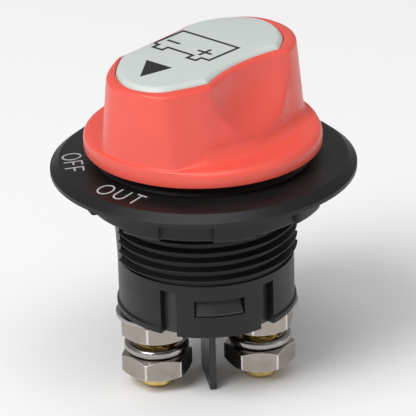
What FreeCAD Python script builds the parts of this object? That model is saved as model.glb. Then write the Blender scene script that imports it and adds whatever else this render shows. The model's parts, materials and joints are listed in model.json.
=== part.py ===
"""Panel battery switch: red removable knob, round bezel, threaded barrel and two M10 studs.

Millimetres. The origin is the centre of the bezel's underside, on the knob's axis. +Z runs up
the axis to the knob and +X runs through both studs. Angles are degrees from +X, counter-clockwise.
The knob is drawn at OUT, where it lifts off; OFF is 45 degrees clockwise and ON 135 degrees.
"""
import FreeCAD, Part
import math
import os

from FreeCAD import Vector

AXIS = Vector(0, 0, 1)
CENTRE = Vector(0, 0, 0)
SIDES = {"left": -1, "right": 1}

# Dial positions, as angles of the knob's pointer
OUT_ANGLE = 221.7
TURN_TO_OFF = -45.0
TURN_TO_ON = -135.0

# The bridge lies along the studs once the rotor has turned to ON
BRIDGE_ANGLE = -TURN_TO_ON

# Bezel and its hub
BEZEL_R = 38.0
BEZEL_EDGE = 1.05
BEZEL_KNEE = 2.8
BEZEL_KNEE_R = 35.8
DIAL_FOOT = 3.45
DIAL_FOOT_R = 27.0
BEZEL_TOP = 4.8
BEZEL_TOP_R = 25.6
BEZEL_SKIN = 3.0
SEAT_IN_R = 31.0
SEAT_STEP = 0.3
HUB_BORE_R = 9.8
HUB_OUT_R = 13.0
HUB_END = -7.0

# Barrel, its thread and the skirt below it
THREAD_R = 23.0
THREAD_ROOT_R = 21.5
THREAD_PITCH = 2.5
THREAD_END = -23.0
THREAD_LAND = 0.24
THREAD_FOOT = 2.0
THREAD_SINK = 0.25
SKIRT_R = 22.1
BARREL_BORE_R = 19.6
BARREL_BORE_END = -22.4
SKIRT_BORE_R = 20.3
SKIRT_END = -36.9
FLAT_TAPER_FROM = -6.0
FLAT_TO_FRONT = 11.5
FLAT_TO_BACK = 20.0
SLOT_FROM = 28.5
SLOT_TO = 39.6
SLOT_TOP = -25.0
WINDOW_HALF = 16.5
WINDOW_TOP = -26.9
WINDOW_END = -31.3
LIP_R = 22.6
LIP_TOP = -34.8
LIP_END = -36.4

# Detent and stop
BALL_R = 2.0
BALL_TIP_R = 19.45
NOTCH_R = 2.3
NOTCH_CENTRE_R = 18.2
STOP_IN_R = 15.0
STOP_OUT_R = 18.5
STOP_HALF = 10.0
STOP_GAP = 1.0
STOP_BLOCK = 15.0
LUG_TOP = -3.0
THRUST_WASHER_IN_R = 10.2
THRUST_WASHER_OUT_R = 14.8
THRUST_WASHER = (-7.75, -7.05)

# Ring nut
NUT_R = 30.4
NUT_NOTCH_R = 29.2
NUT_TOP = -0.35
NUT_END = -7.65
NUT_CLEARANCE = 0.1
NUT_NOTCHES = 8
NUT_NOTCH_HALF = 12.5
NUT_NOTCH_AT = -62.2

# Rotor
ROTOR_HUB_R = 9.72
ROTOR_TOP = 3.6
ROTOR_DISC_R = 18.9
DISC_TOP = -7.9
DISC_END = -12.9
SOCKET_SIDE = 9.2
SOCKET_END = -4.6
SPRING_POCKET_R = 4.6
SPRING_POCKET_TOP = -7.4
BALL_HOLE_R = 2.1
BALL_HOLE_END = 9.6
LEG_GAP = 0.15
LEG_THICK = 3.0
LEG_LENGTH = 12.0
LEG_END = -18.9
ROTOR_SEAL_R = 9.05
ROTOR_SEAL_SECTION_R = 0.7
ROTOR_GROOVE_R = 8.3
ROTOR_GROOVE_HALF = 0.9
DETENT_COIL_R = 1.5
DETENT_WIRE_R = 0.25
BRIDGE_COIL_R = 3.5
BRIDGE_WIRE_R = 0.5
SPRING_TURNS = 5

# Contacts
BRIDGE_LENGTH = 36.0
BRIDGE_WIDTH = 8.0
BRIDGE_END_R = 18.4
BRIDGE_TOP = -17.2
BRIDGE_BOTTOM = -19.7
MOVING_CONTACT_R = 3.6
MOVING_CONTACT_END = -20.9
BRIDGE_PIP_R = 2.8
BRIDGE_PIP_HEIGHT = 1.2
FIXED_CONTACT_R = 4.2
FIXED_CONTACT_TOP = -21.0

# Terminal base and its fin
BASE_TOP = -21.2
BASE_SPIGOT_R = 19.4
BASE_SHOULDER = -22.6
BASE_R = 20.1
BASE_WALL = 2.0
BASE_DECK_END = -33.4
SEAL_GROOVE_R = 18.95
SEAL_GROOVE = (-24.7, -23.4)
BASE_SEAL_R = 19.6
BASE_SEAL_SECTION_R = 0.6
HOOK_R = 21.9
HOOK_HALF = 15.5
HOOK_TOP = -27.2
HOOK_FULL = -30.6
HOOK_END = -31.1
BOSS_R = 8.0
BOSS_END = -37.9
SEAL_SEAT_R = 6.6
SEAL_SEAT_DEEP = 1.4
STUD_SEAL_R = 5.8
STUD_SEAL_SECTION_R = 0.65
RIB_HALF = 1.0
FIN_HALF = 0.8
FIN_DEPTH_HALF = 7.5
FIN_CORNER_R = 0.8
FIN_END = -59.0

# Terminals
STUD_X = 13.2
STUD_R = 5.0
STUD_END = -58.5
STUD_CHAMFER = 0.9
STUD_HEAD_R = 7.5
STUD_HEAD_LIMIT_R = 18.5
STUD_HEAD_TOP = -21.6
STUD_HEAD_END = -24.0
POCKET_GAP = 0.2
HEX_R = 9.24
HEX_CHAMFER_R = 7.6
HEX_CHAMFER = 0.95
HEX_BORE_R = 5.05
UPPER_NUT = (-44.9, -39.1)
LOWER_NUT = (-55.1, -49.3)
UPPER_NUT_TURN = {"left": 8.2, "right": 10.5}
LOWER_NUT_TURN = {"left": 3.9, "right": 50.2}
FLAT_WASHER = (-39.1, -37.9)
FLAT_WASHER_R = 10.0
FLAT_WASHER_BORE_R = 5.25
LOCK_WASHER = (-49.2, -46.6)
LOCK_WASHER_R = 8.25
LOCK_WASHER_BORE_R = 5.3
LOCK_WASHER_GAP = 0.9

# Knob
KNOB_BOTTOM = 6.4
KNOB_BASE_R = 29.5
KNOB_BASE_TOP = 10.6
KNOB_BASE_ROUND = 1.6
GRIP_FOOT = 9.6
GRIP_TOP = 29.5
RIM_WIDTH = 1.7
RIM_SWELL_NEAR = 1.1
RIM_SWELL_FAR = 1.9
RIM_THIN_BACK = 0.8
SWELL_HALF = 46.5
GRIP_DRAFT = math.radians(5.4)
GRIP_LIMIT_R = 29.0
KNOB_CAVITY_R = 27.0
KNOB_CAVITY_TOP = 8.8
KNOB_CEILING = 26.0
KNOB_WALL = 2.2
RECESS_FLOOR = 28.0
RECESS_GAP = 0.15
INSERT_TOP = 30.4
INSERT_BEVEL = 1.5
SCOOP_R = 43.0
SCOOP_DROP_R = 20.0
SCOOP_FLOOR_W = 11.1
SCOOP_CENTRE_U = -0.5
STEM_R = 7.5
STEM_SHOULDER = 6.6
STEM_SIDE = 9.0
STEM_END = -4.3
SCREW_R = 2.0
SCREW_HEAD_R = 3.9
SCREW_END = 14.5

# Insert outline before the scoop is cut, with u along the pointer and w a quarter turn
# counter-clockwise from u
NEAR_END = [(13.6, 13.6), (19.4, 11.0), (24.7, 8.0), (26.9, 3.0), (26.4, -1.8), (23.0, -7.2),
            (19.0, -10.7), (13.4, -14.1)]
FAR_END = [(-13.4, -14.3), (-18.4, -12.6), (-22.9, -9.2), (-25.9, -4.6), (-26.2, 0.0),
           (-24.2, 5.0), (-20.2, 9.6), (-13.9, 13.3)]
BACK_SAG = 0.2
FRONT_BULGE = 3.0


def revolved(corners, start=0.0, sweep=360.0):
    """Solid of revolution about the axis from (radius, height) corners."""
    outline = Part.makePolygon([Vector(r, 0, z) for r, z in corners + corners[:1]])
    solid = Part.Face(outline).revolve(CENTRE, AXIS, sweep)
    solid.rotate(CENTRE, AXIS, start)
    return solid


def tube(inner, outer, low, high):
    return revolved([(inner, low), (outer, low), (outer, high), (inner, high)])


def disc(radius, low, high, x=0.0, y=0.0):
    return Part.makeCylinder(radius, high - low, Vector(x, y, low))


def sector(inner, outer, low, high, middle, half):
    """Piece of a ring that spans middle - half to middle + half degrees."""
    corners = [(inner, low), (outer, low), (outer, high), (inner, high)]
    return revolved(corners, middle - half, 2 * half)


def block(size, low, turn=0.0):
    """Box of the given (x, y, z) size with its lowest corner at low, then turned about the axis."""
    solid = Part.makeBox(*size, Vector(*low))
    solid.rotate(CENTRE, AXIS, turn)
    return solid


def coil(radius, wire_r, low, high, turns):
    """Eight-sided wire wound on the Z axis, its centre line at the given radius."""
    helix = Part.makeHelix((high - low) / turns, high - low, radius)
    corners = [Vector(radius + wire_r * math.cos(math.radians(45 * k)), 0,
                      wire_r * math.sin(math.radians(45 * k))) for k in range(9)]
    spring = Part.Wire(helix).makePipeShell([Part.makePolygon(corners)], True, True)
    spring.translate(Vector(0, 0, low))
    return spring


def save(node, shape):
    shape.exportStep("parts/" + node + ".step")


def thread_ridge():
    """Helical ridge of the barrel's thread, sunk a little into the core, starting in a flat."""
    half = THREAD_FOOT / 2
    low = THREAD_END + half + 0.2
    high = SEAT_STEP - THREAD_PITCH / 2
    helix = Part.makeHelix(THREAD_PITCH, high - low, THREAD_ROOT_R)
    land = THREAD_LAND / 2
    root = THREAD_ROOT_R - THREAD_SINK
    corners = [(root, -half), (THREAD_R, -land), (THREAD_R, land), (root, half)]
    profile = Part.makePolygon([Vector(r, 0, z) for r, z in corners + corners[:1]])
    ridge = Part.Wire(helix).makePipeShell([profile], True, True)
    ridge.translate(Vector(0, 0, low))
    ridge.rotate(CENTRE, AXIS, flat_middles()[1])
    return ridge


def flat_middles():
    """Middle angles of the barrel's right and left flats, which reach further to the back."""
    lean = (FLAT_TO_BACK - FLAT_TO_FRONT) / 2
    return lean, 180.0 - lean


def detent_angles():
    """Where the two balls stand at each dial position."""
    first = [BRIDGE_ANGLE + turn for turn in (0.0, TURN_TO_OFF, TURN_TO_ON)]
    return first + [angle + 180.0 for angle in first]


def housing():
    profile = [
        (HUB_BORE_R, BEZEL_TOP), (BEZEL_TOP_R, BEZEL_TOP), (DIAL_FOOT_R, DIAL_FOOT),
        (BEZEL_KNEE_R, BEZEL_KNEE), (BEZEL_R, BEZEL_EDGE), (BEZEL_R, 0.0), (SEAT_IN_R, 0.0), (SEAT_IN_R, SEAT_STEP),
        (THREAD_ROOT_R, SEAT_STEP), (THREAD_ROOT_R, THREAD_END), (SKIRT_R, THREAD_END),
        (SKIRT_R, SKIRT_END), (SKIRT_BORE_R, SKIRT_END),
        (SKIRT_BORE_R, BARREL_BORE_END), (BARREL_BORE_R, BARREL_BORE_END),
        (BARREL_BORE_R, BEZEL_TOP - BEZEL_SKIN), (HUB_OUT_R, BEZEL_TOP - BEZEL_SKIN),
        (HUB_OUT_R, HUB_END), (HUB_BORE_R, HUB_END)]
    body = revolved(profile)
    ridge = thread_ridge()
    strip = [(THREAD_ROOT_R - 1, SEAT_STEP), (THREAD_R, SEAT_STEP), (THREAD_R, FLAT_TAPER_FROM),
             (SKIRT_R, THREAD_END), (THREAD_ROOT_R - 1, THREAD_END)]
    half = (FLAT_TO_FRONT + FLAT_TO_BACK) / 2
    for middle in flat_middles():
        ridge = ridge.cut(sector(THREAD_ROOT_R - 2, THREAD_R + 1, SKIRT_END, 1.0, middle, half))
        body = body.fuse(revolved(strip, middle - half, 2 * half))
    body = body.fuse(ridge)
    body = body.fuse(stop_blocks())
    body = body.fuse(skirt_lips())
    return body.cut(skirt_openings()).removeSplitter()


def stop_blocks():
    """Two blocks under the bezel's skin that the rotor's lug meets at OUT and at ON."""
    high = BEZEL_TOP - BEZEL_SKIN + 0.5
    reach = STOP_HALF + STOP_GAP + STOP_BLOCK / 2
    angles = [OUT_ANGLE + reach, OUT_ANGLE + TURN_TO_ON - reach]
    blocks = [sector(STOP_IN_R, STOP_OUT_R, HUB_END + 0.5, high, angle, STOP_BLOCK / 2)
              for angle in angles]
    return Part.makeCompound(blocks)


def skirt_lips():
    """Small outward lip round the foot of the skirt's two side wings."""
    corners = [(SKIRT_R - 1, LIP_TOP), (SKIRT_R, LIP_TOP), (LIP_R, LIP_TOP - 0.4),
               (LIP_R, LIP_END), (SKIRT_R, LIP_END - 0.3), (SKIRT_R - 1, LIP_END - 0.3)]
    half = 90.0 - SLOT_TO
    return Part.makeCompound([revolved(corners, side - half, 2 * half) for side in (0.0, 180.0)])


def skirt_openings():
    """Slots, snap windows and the detent notches inside the barrel."""
    tools = []
    for side in (-90.0, 90.0):
        middle = (SLOT_FROM + SLOT_TO) / 2
        half = (SLOT_TO - SLOT_FROM) / 2
        for sign in (-1, 1):
            tools.append(sector(18.0, 25.0, SKIRT_END - 1, SLOT_TOP, side + sign * middle, half))
        tools.append(sector(18.0, 25.0, WINDOW_END, WINDOW_TOP, side, WINDOW_HALF))
    for angle in detent_angles():
        x = NOTCH_CENTRE_R * math.cos(math.radians(angle))
        y = NOTCH_CENTRE_R * math.sin(math.radians(angle))
        tools.append(disc(NOTCH_R, DISC_END, DISC_TOP, x, y))
    return Part.makeCompound(tools)


def panel_nut():
    bore = THREAD_R + NUT_CLEARANCE
    ring = revolved([(bore, NUT_TOP), (NUT_R, NUT_TOP), (NUT_R, NUT_END + 0.6),
                     (NUT_R - 0.5, NUT_END), (bore + 0.6, NUT_END), (bore, NUT_END + 0.6)])
    notches = [sector(NUT_NOTCH_R, NUT_R + 1, NUT_END - 1, NUT_TOP + 1,
                      NUT_NOTCH_AT + k * 360.0 / NUT_NOTCHES, NUT_NOTCH_HALF)
               for k in range(NUT_NOTCHES)]
    return ring.cut(Part.makeCompound(notches))


def rotor():
    body = revolved([(0.0, ROTOR_TOP), (ROTOR_HUB_R, ROTOR_TOP), (ROTOR_HUB_R, DISC_TOP),
                     (ROTOR_DISC_R, DISC_TOP), (ROTOR_DISC_R, DISC_END), (0.0, DISC_END)])
    lug = sector(STOP_IN_R + 0.4, STOP_OUT_R - 0.1, DISC_TOP - 1, LUG_TOP, OUT_ANGLE, STOP_HALF)
    body = body.fuse(lug)
    for sign in (-1, 1):
        inner = BRIDGE_WIDTH / 2 + LEG_GAP
        low_y = inner if sign > 0 else -inner - LEG_THICK
        leg = block((LEG_LENGTH, LEG_THICK, DISC_END - LEG_END + 1),
                    (-LEG_LENGTH / 2, low_y, LEG_END), BRIDGE_ANGLE)
        body = body.fuse(leg)
    half = SOCKET_SIDE / 2
    socket = block((SOCKET_SIDE, SOCKET_SIDE, 20.0), (-half, -half, SOCKET_END), OUT_ANGLE)
    holes = [socket, disc(SPRING_POCKET_R, DISC_END - 1, SPRING_POCKET_TOP),
             tube(ROTOR_GROOVE_R, ROTOR_HUB_R + 1, -ROTOR_GROOVE_HALF, ROTOR_GROOVE_HALF)]
    for sign in (0.0, 180.0):
        hole = Part.makeCylinder(BALL_HOLE_R, 12.0, Vector(BALL_HOLE_END, 0, detent_height()),
                                 Vector(1, 0, 0))
        hole.rotate(CENTRE, AXIS, BRIDGE_ANGLE + sign)
        holes.append(hole)
    return body.cut(Part.makeCompound(holes))


def detent_height():
    return (DISC_TOP + DISC_END) / 2


def detent_ball(angle):
    radius = BALL_TIP_R - BALL_R
    ball = Part.makeSphere(BALL_R, Vector(radius, 0, detent_height()))
    ball.rotate(CENTRE, AXIS, angle)
    return ball


def detent_spring(angle):
    """Coil behind a detent ball, lying along the disc's radius."""
    start = BALL_HOLE_END + DETENT_WIRE_R + 0.05
    end = BALL_TIP_R - 2 * BALL_R - DETENT_WIRE_R
    spring = coil(DETENT_COIL_R, DETENT_WIRE_R, start, end, SPRING_TURNS)
    spring.rotate(CENTRE, Vector(0, 1, 0), 90.0)
    spring.translate(Vector(0, 0, detent_height()))
    spring.rotate(CENTRE, AXIS, angle)
    return spring


def contact_bridge():
    bar = block((BRIDGE_LENGTH, BRIDGE_WIDTH, BRIDGE_TOP - BRIDGE_BOTTOM),
                (-BRIDGE_LENGTH / 2, -BRIDGE_WIDTH / 2, BRIDGE_BOTTOM), BRIDGE_ANGLE)
    bar = bar.common(disc(BRIDGE_END_R, BRIDGE_BOTTOM - 1, BRIDGE_TOP + 1))
    return bar.fuse(disc(BRIDGE_PIP_R, BRIDGE_TOP - 0.5, BRIDGE_TOP + BRIDGE_PIP_HEIGHT))


def moving_contact(angle):
    x = STUD_X * math.cos(math.radians(angle))
    y = STUD_X * math.sin(math.radians(angle))
    return disc(MOVING_CONTACT_R, MOVING_CONTACT_END, BRIDGE_BOTTOM, x, y)


def terminal_base():
    inner = BASE_R - BASE_WALL
    body = revolved([(0.0, BASE_TOP), (BASE_SPIGOT_R, BASE_TOP), (BASE_SPIGOT_R, BASE_SHOULDER),
                     (BASE_R, BASE_SHOULDER), (BASE_R, SKIRT_END), (inner, SKIRT_END),
                     (inner, BASE_DECK_END), (0.0, BASE_DECK_END)])
    for sign in SIDES.values():
        boss = disc(BOSS_R, BOSS_END, BASE_DECK_END + 1, sign * STUD_X)
        body = body.fuse(boss.common(disc(BASE_R, BOSS_END - 1, BASE_TOP)))
    body = body.fuse(barrier_fin())
    hook = [(BASE_R - 1, HOOK_TOP), (BASE_R + 0.2, HOOK_TOP), (HOOK_R, HOOK_FULL),
            (HOOK_R, HOOK_END), (BASE_R - 1, HOOK_END)]
    for side in (-90.0, 90.0):
        body = body.fuse(revolved(hook, side - HOOK_HALF, 2 * HOOK_HALF))
    holes = [tube(SEAL_GROOVE_R, BASE_R + 1, *SEAL_GROOVE)]
    for sign in SIDES.values():
        x = sign * STUD_X
        pocket = disc(STUD_HEAD_R + POCKET_GAP, STUD_HEAD_END, BASE_TOP + 1, x)
        holes.append(pocket.common(disc(STUD_HEAD_LIMIT_R + POCKET_GAP, -30.0, -20.0)))
        holes.append(disc(STUD_R + 0.05, BOSS_END - 1, STUD_HEAD_END + 0.5, x))
        holes.append(disc(SEAL_SEAT_R, BOSS_END - 1, BOSS_END + SEAL_SEAT_DEEP, x))
    return body.cut(Part.makeCompound(holes)).removeSplitter()


def barrier_fin():
    """Rib across the base's hollow, and the plate below it that keeps the two cables apart."""
    reach = BASE_R - 1.0
    rib = block((2 * RIB_HALF, 2 * reach, BASE_DECK_END + 1 - SKIRT_END),
                (-RIB_HALF, -reach, SKIRT_END))
    fin = block((2 * FIN_HALF, 2 * FIN_DEPTH_HALF, SKIRT_END + 1 - FIN_END),
                (-FIN_HALF, -FIN_DEPTH_HALF, FIN_END))
    corners = [edge for edge in fin.Edges
               if edge.CenterOfMass.z < FIN_END + 0.01 and abs(edge.CenterOfMass.x) < 0.01]
    return rib.fuse(fin.makeFillet(FIN_CORNER_R, corners))


def stud(side):
    x = SIDES[side] * STUD_X
    head = disc(STUD_HEAD_R, STUD_HEAD_END, STUD_HEAD_TOP, x)
    head = head.common(disc(STUD_HEAD_LIMIT_R, STUD_HEAD_END - 1, STUD_HEAD_TOP + 1))
    shank = revolved([(0.0, STUD_HEAD_END), (STUD_R, STUD_HEAD_END),
                      (STUD_R, STUD_END + STUD_CHAMFER), (STUD_R - STUD_CHAMFER, STUD_END),
                      (0.0, STUD_END)])
    shank.translate(Vector(x, 0, 0))
    return head.fuse(shank)


def hex_nut(side, span, turn):
    """Hexagon nut, chamfered at both faces, with one corner turned to the given angle."""
    low, high = span
    angles = [math.radians(60 * k) for k in range(7)]
    corners = [Vector(HEX_R * math.cos(angle), HEX_R * math.sin(angle), low) for angle in angles]
    hexagon = Part.Face(Part.makePolygon(corners)).extrude(Vector(0, 0, high - low))
    cone = revolved([(HEX_BORE_R, low), (HEX_CHAMFER_R, low), (HEX_R, low + HEX_CHAMFER),
                     (HEX_R, high - HEX_CHAMFER), (HEX_CHAMFER_R, high), (HEX_BORE_R, high)])
    nut = hexagon.common(cone)
    nut.rotate(CENTRE, AXIS, turn)
    nut.translate(Vector(SIDES[side] * STUD_X, 0, 0))
    return nut


def flat_washer(side):
    low, high = FLAT_WASHER
    edge = 0.3
    washer = revolved([(FLAT_WASHER_BORE_R, low), (FLAT_WASHER_R - edge, low),
                       (FLAT_WASHER_R, low + edge), (FLAT_WASHER_R, high - edge),
                       (FLAT_WASHER_R - edge, high), (FLAT_WASHER_BORE_R, high)])
    washer.translate(Vector(SIDES[side] * STUD_X, 0, 0))
    return washer


def lock_washer(side):
    """Split spring washer with rounded edges; its gap is at the back."""
    low, high = LOCK_WASHER
    half = (high - low) / 2
    inner = LOCK_WASHER_BORE_R + half
    outer = LOCK_WASHER_R - half
    top = [Vector(inner, 0, high), Vector(outer, 0, high)]
    bottom = [Vector(outer, 0, low), Vector(inner, 0, low)]
    middle = (low + high) / 2
    edges = [Part.LineSegment(*top), Part.Arc(top[1], Vector(LOCK_WASHER_R, 0, middle), bottom[0]),
             Part.LineSegment(*bottom),
             Part.Arc(bottom[1], Vector(LOCK_WASHER_BORE_R, 0, middle), top[0])]
    outline = Part.Wire([edge.toShape() for edge in edges])
    washer = Part.Face(outline).revolve(CENTRE, AXIS, 360)
    gap = block((LOCK_WASHER_GAP, 6.0, 8.0), (-LOCK_WASHER_GAP / 2, 4.5, middle - 4.0))
    gap.rotate(Vector(0, 0, middle), Vector(0, 1, 0), 25.0)
    washer = washer.cut(gap)
    washer.translate(Vector(SIDES[side] * STUD_X, 0, 0))
    return washer


def seal_ring(radius, section_r, height, x=0.0):
    return Part.makeTorus(radius, section_r, Vector(x, 0, height))


def rim_swell(u, w):
    """Extra width of the rim: more towards the grip's two ends, less along its back."""
    share = math.pi * min(1.0, math.degrees(math.atan2(abs(w), abs(u))) / SWELL_HALF)
    most = RIM_SWELL_NEAR if u > 0 else RIM_SWELL_FAR
    thin = RIM_THIN_BACK * (1.0 - math.cos(share)) / 2 if w < 0 else 0.0
    return most * math.sqrt(max(0.0, math.cos(share / 2))) - thin


def knob_outline(height, offset):
    """Closed outline of the grip at a height, moved outward from the insert's edge."""
    def moved(points):
        grown = []
        for u, w in points:
            swell = rim_swell(u, w) if offset >= RIM_WIDTH else 0.0
            scale = 1.0 + (offset + swell) / math.hypot(u, w)
            grown.append(Vector(u * scale, w * scale, height))
        return grown

    near, far = moved(NEAR_END), moved(FAR_END)
    curves = []
    for points in (near, far):
        spline = Part.BSplineCurve()
        spline.interpolate(points)
        curves.append(spline)
    back = Part.Arc(near[-1], Vector(0, near[-1].y + BACK_SAG, height), far[0])
    front = Part.Arc(far[-1], Vector(0, near[0].y + FRONT_BULGE, height), near[0])
    return Part.Wire([edge.toShape() for edge in (curves[0], back, curves[1], front)])


def turned_to_pointer(shape):
    """Turn a shape drawn with u on +X and w on +Y so that u lies along the pointer."""
    shape.rotate(CENTRE, AXIS, OUT_ANGLE)
    return shape


def prism(low, high, low_offset, high_offset):
    """Solid between two outlines of the grip."""
    wires = [knob_outline(low, low_offset), knob_outline(high, high_offset)]
    return Part.makeLoft(wires, True, True)


def thumb_scoop(offset):
    """Ring that hollows the wall beside the pointer, upright at the rim and running out below."""
    centre = Vector(SCOOP_CENTRE_U, SCOOP_FLOOR_W + offset + SCOOP_R, GRIP_TOP)
    return Part.makeTorus(SCOOP_R - SCOOP_DROP_R, SCOOP_DROP_R, centre, AXIS)


def knob_shell():
    base = disc(KNOB_BASE_R, KNOB_BOTTOM, KNOB_BASE_TOP)
    top_edges = [edge for edge in base.Edges if abs(edge.CenterOfMass.z - KNOB_BASE_TOP) < 0.01]
    base = base.makeFillet(KNOB_BASE_ROUND, top_edges)
    foot = RIM_WIDTH + (GRIP_TOP - GRIP_FOOT) * math.tan(GRIP_DRAFT)
    grip = prism(GRIP_FOOT, GRIP_TOP, foot, RIM_WIDTH)
    grip = grip.common(disc(GRIP_LIMIT_R, GRIP_FOOT, GRIP_TOP))
    grip = grip.cut(thumb_scoop(RIM_WIDTH))
    shell = base.fuse(grip)
    cavity = prism(KNOB_BOTTOM - 1, KNOB_CEILING, -KNOB_WALL + RIM_WIDTH, -KNOB_WALL)
    cavity = cavity.cut(block((80.0, 40.0, 40.0), (-40.0, 8.0, 0.0)))
    recess = prism(RECESS_FLOOR, GRIP_TOP + 1, RECESS_GAP, RECESS_GAP)
    recess = recess.cut(thumb_scoop(RECESS_GAP))
    shell = shell.cut(Part.makeCompound([cavity, recess]))
    shell = shell.cut(disc(KNOB_CAVITY_R, KNOB_BOTTOM - 1, KNOB_CAVITY_TOP))
    return turned_to_pointer(shell.cut(screw()))


def knob_insert():
    plate = prism(RECESS_FLOOR, GRIP_TOP, 0.0, 0.0)
    bevel = prism(GRIP_TOP, INSERT_TOP, 0.0, -INSERT_BEVEL)
    plate = plate.fuse(bevel)
    return turned_to_pointer(plate.cut(thumb_scoop(0.0)))


def screw():
    """Countersunk screw through the knob's ceiling into the stem."""
    return revolved([(0.0, RECESS_FLOOR), (SCREW_HEAD_R, RECESS_FLOOR), (SCREW_R, KNOB_CEILING + 0.1),
                     (SCREW_R, SCREW_END), (0.0, SCREW_END)])


def knob_stem():
    column = disc(STEM_R, STEM_SHOULDER, KNOB_CEILING)
    half = STEM_SIDE / 2
    key = block((STEM_SIDE, STEM_SIDE, STEM_SHOULDER + 1 - STEM_END), (-half, -half, STEM_END),
                OUT_ANGLE)
    return column.fuse(key).cut(screw())


def main():
    os.makedirs("parts", exist_ok=True)
    ball_angles = {"a": BRIDGE_ANGLE, "b": BRIDGE_ANGLE + 180.0}
    parts = {
        "housing": housing(),
        "panel_nut": panel_nut(),
        "thrust_washer": tube(THRUST_WASHER_IN_R, THRUST_WASHER_OUT_R, *THRUST_WASHER),
        "terminal_base": terminal_base(),
        "base_seal": seal_ring(BASE_SEAL_R, BASE_SEAL_SECTION_R, sum(SEAL_GROOVE) / 2),
        "rotor": rotor(),
        "rotor_seal": seal_ring(ROTOR_SEAL_R, ROTOR_SEAL_SECTION_R, 0.0),
        "contact_bridge": contact_bridge(),
        "bridge_spring": coil(BRIDGE_COIL_R, BRIDGE_WIRE_R, BRIDGE_TOP + 0.7,
                              SPRING_POCKET_TOP - 0.8, SPRING_TURNS),
        "knob_shell": knob_shell(),
        "knob_insert": knob_insert(),
        "knob_stem": knob_stem(),
        "knob_screw": screw(),
    }
    for name, angle in ball_angles.items():
        parts["detent_ball_" + name] = detent_ball(angle)
        parts["detent_spring_" + name] = detent_spring(angle)
        parts["moving_contact_" + name] = moving_contact(angle)
    for side, sign in SIDES.items():
        parts["stud_" + side] = stud(side)
        parts["fixed_contact_" + side] = disc(FIXED_CONTACT_R, STUD_HEAD_TOP, FIXED_CONTACT_TOP,
                                              sign * STUD_X)
        parts["stud_seal_" + side] = seal_ring(STUD_SEAL_R, STUD_SEAL_SECTION_R,
                                               BOSS_END + SEAL_SEAT_DEEP / 2, sign * STUD_X)
        parts["flat_washer_" + side] = flat_washer(side)
        parts["upper_nut_" + side] = hex_nut(side, UPPER_NUT, UPPER_NUT_TURN[side])
        parts["lock_washer_" + side] = lock_washer(side)
        parts["cable_nut_" + side] = hex_nut(side, LOWER_NUT, LOWER_NUT_TURN[side])
    for node, shape in parts.items():
        print(node, len(shape.Solids), shape.isValid(), round(shape.Volume, 1))
        save(node, shape)


main()
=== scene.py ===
"""Looks of the battery switch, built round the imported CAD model.

Lengths are in millimetres and become metres where a mesh is made. The knob's own axes are u, along
its pointer, and w, a quarter turn counter-clockwise from u; z runs up the knob's axis.
"""

import json
import math

import bpy
import numpy as np
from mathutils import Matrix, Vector


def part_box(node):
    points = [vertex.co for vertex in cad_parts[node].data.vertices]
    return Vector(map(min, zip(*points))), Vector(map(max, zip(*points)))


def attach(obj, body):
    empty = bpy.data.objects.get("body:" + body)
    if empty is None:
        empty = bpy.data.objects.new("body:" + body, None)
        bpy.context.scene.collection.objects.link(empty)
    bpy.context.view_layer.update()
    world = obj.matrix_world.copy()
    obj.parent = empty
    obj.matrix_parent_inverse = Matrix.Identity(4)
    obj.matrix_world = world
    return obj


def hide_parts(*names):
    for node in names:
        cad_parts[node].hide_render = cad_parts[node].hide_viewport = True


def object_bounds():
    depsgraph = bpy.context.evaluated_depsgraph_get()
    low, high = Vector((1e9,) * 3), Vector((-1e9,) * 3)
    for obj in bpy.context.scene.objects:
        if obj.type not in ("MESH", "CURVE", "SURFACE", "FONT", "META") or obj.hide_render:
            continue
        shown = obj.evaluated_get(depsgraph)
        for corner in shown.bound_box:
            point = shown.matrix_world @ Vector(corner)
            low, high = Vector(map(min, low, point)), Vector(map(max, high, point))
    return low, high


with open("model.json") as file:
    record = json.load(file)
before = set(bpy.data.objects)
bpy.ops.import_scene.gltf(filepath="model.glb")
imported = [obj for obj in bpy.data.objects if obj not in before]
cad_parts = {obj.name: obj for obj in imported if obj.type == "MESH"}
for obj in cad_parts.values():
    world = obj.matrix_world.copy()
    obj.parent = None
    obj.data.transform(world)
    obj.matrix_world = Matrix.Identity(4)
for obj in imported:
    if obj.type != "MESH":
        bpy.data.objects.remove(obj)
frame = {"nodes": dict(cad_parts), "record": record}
CAD_LOW, CAD_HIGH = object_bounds()

MM = 0.001
SIDES = ("left", "right")

# Dial: angle of the pointer at rest; angle, foot radius and letter gap of the three legends
POINTER = math.radians(221.7)
LEGENDS = {"OUT": (math.radians(221.4), 33.4, 0.38), "OFF": (math.radians(178.0), 34.6, 0.31),
           "ON": (math.radians(86.7), 34.0, 0.40)}
LEGEND_HEIGHT = 4.5
LEGEND_STROKE = 0.46

# A print stands this far out of its surface and reaches as far into it
PRINT_DEPTH = 0.05

# Farther out, and higher up, than any surface of the switch
FAR_OUT = 99.0
HIGH_UP = 60.0

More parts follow.
